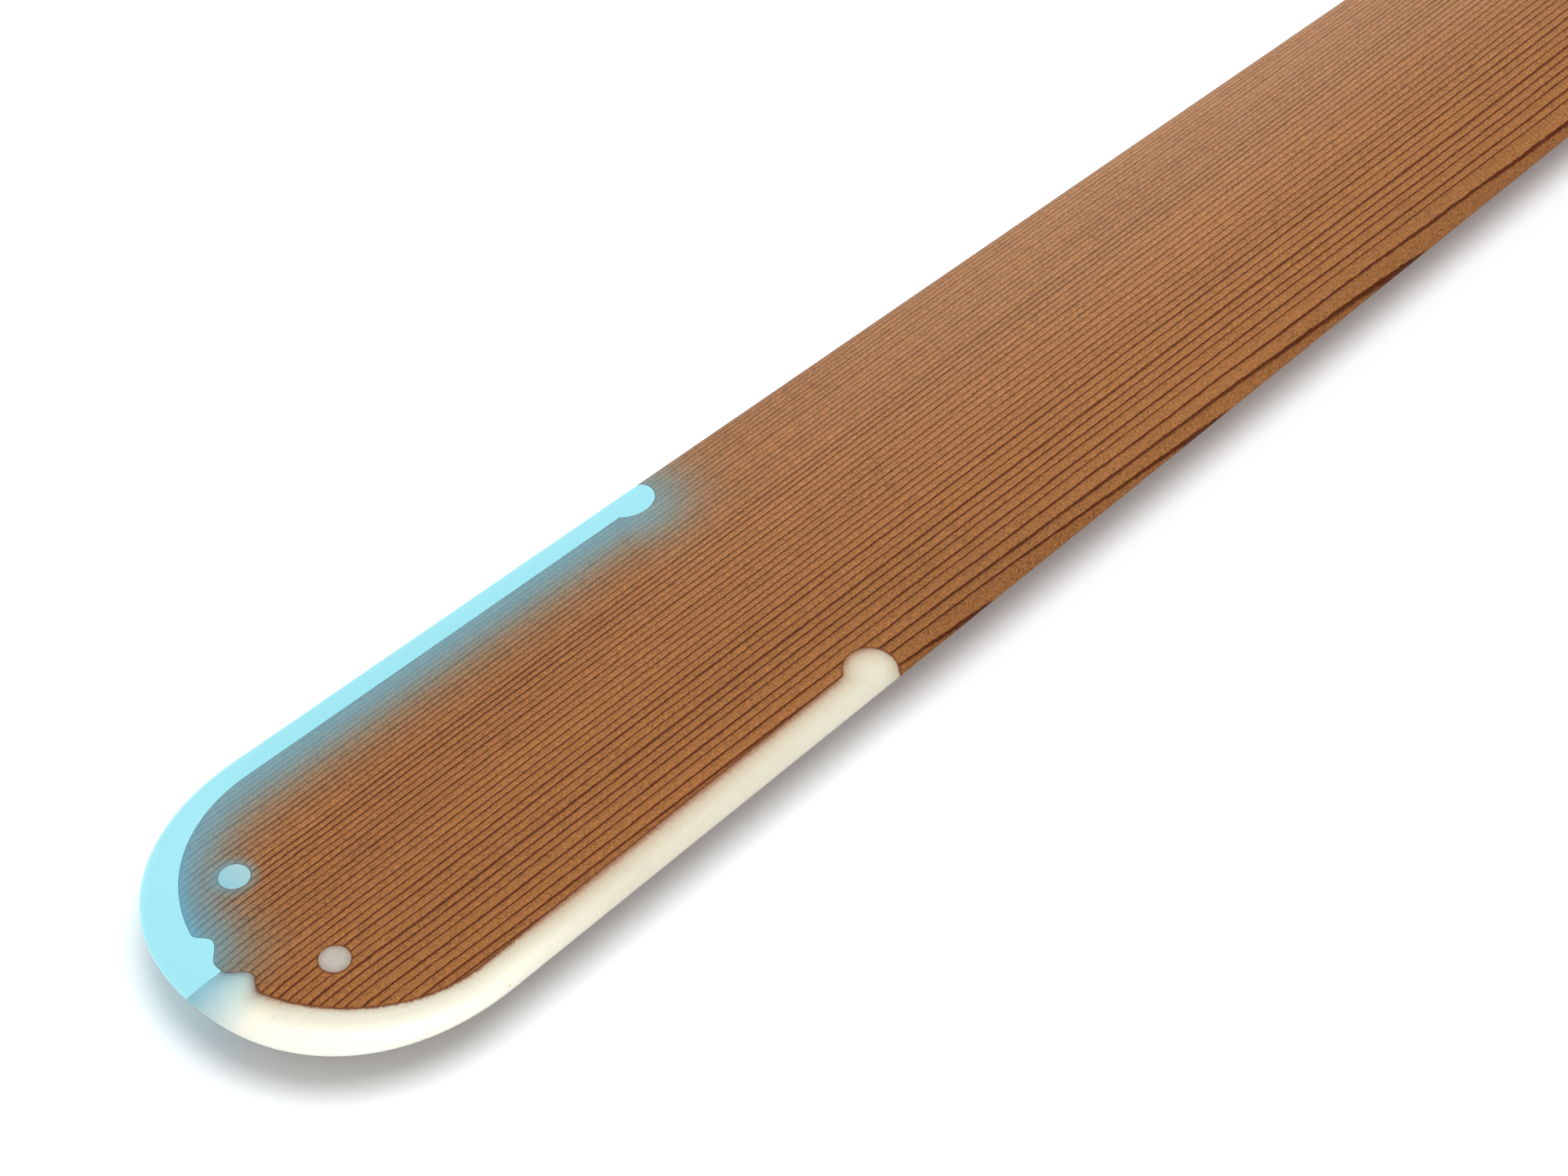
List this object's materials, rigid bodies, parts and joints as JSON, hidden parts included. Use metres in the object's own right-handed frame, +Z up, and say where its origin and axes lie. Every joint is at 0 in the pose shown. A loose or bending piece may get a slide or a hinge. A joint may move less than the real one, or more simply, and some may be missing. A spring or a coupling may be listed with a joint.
{
  "type": "greenland paddle",
  "caption": "Double-ended kayak paddle carved from one cedar board: long narrow blades, rounded loom, cast resin edge wrapped round each tip, small resin plugs behind it.",
  "frame": {"origin": "middle of the loom's underside, on the surface that the paddle lies on", "axes": "+X along the paddle, +Y across the blades, +Z up out of the blades' faces"},
  "size_m": [2.2, 0.092, 0.032],
  "materials": {
    "cedar": "oiled satin western red cedar, quarter-sawn, fine dark latewood lines along the paddle",
    "edge_resin": "cast cream resin, slightly translucent, sanded flush with the wood, satin",
    "plug_resin": "cast off-white resin, sanded flush with the wood, satin"
  },
  "bodies": {
    "root": {"cedar_body": "cedar", "resin_edge_near": "edge_resin", "resin_edge_far": "edge_resin", "resin_plug_near_left": "plug_resin", "resin_plug_near_right": "plug_resin", "resin_plug_far_left": "plug_resin", "resin_plug_far_right": "plug_resin"}
  },
  "joints": []
}
